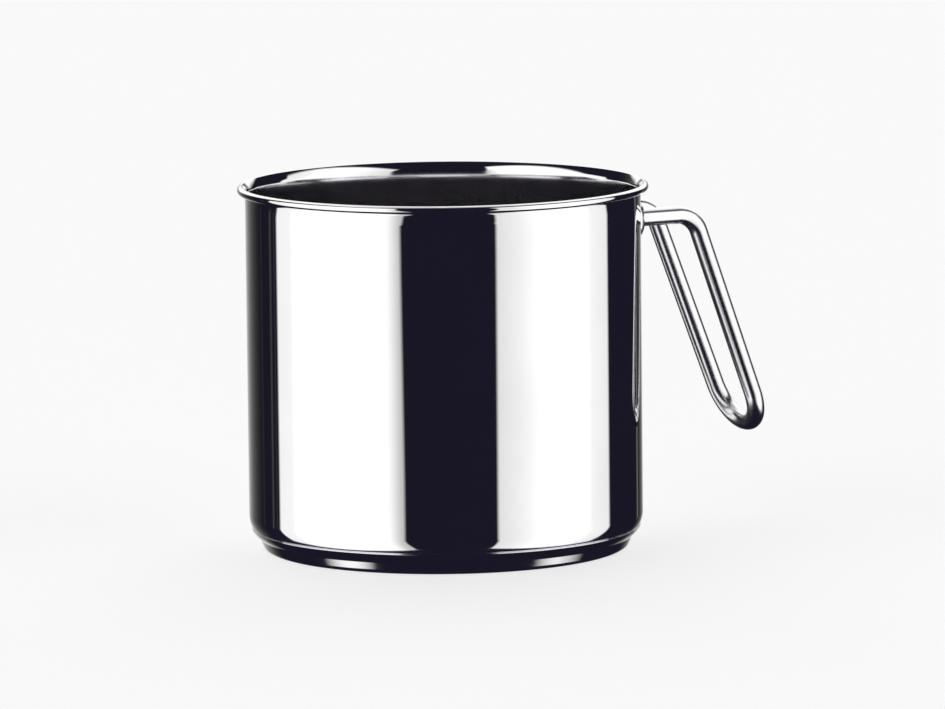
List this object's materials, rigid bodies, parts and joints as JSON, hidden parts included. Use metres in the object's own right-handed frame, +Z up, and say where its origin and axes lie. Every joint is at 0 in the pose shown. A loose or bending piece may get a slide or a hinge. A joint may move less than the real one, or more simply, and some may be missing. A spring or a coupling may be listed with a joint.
{
  "type": "milk boiler",
  "caption": "Tall straight-sided milk pot in polished steel, with a curled pouring rim, a thick capsule base and a bent rod loop handle.",
  "frame": {"origin": "on the pot's axis, at the flat underside that it stands on", "axes": "+Z up along the pot's axis, +X from the axis towards the handle, +Y to the left of the handle seen from the pot"},
  "size_m": [0.2003, 0.1472, 0.1312],
  "materials": {
    "body_steel": "polished",
    "capsule_steel": "polished",
    "core_aluminium": "satin",
    "plate_steel": "polished",
    "rod_steel": "polished"
  },
  "bodies": {
    "root": {"pot_body": "body_steel", "base_capsule": "capsule_steel", "base_core": "core_aluminium", "handle_plate": "plate_steel", "handle_rod": "rod_steel"}
  },
  "joints": []
}
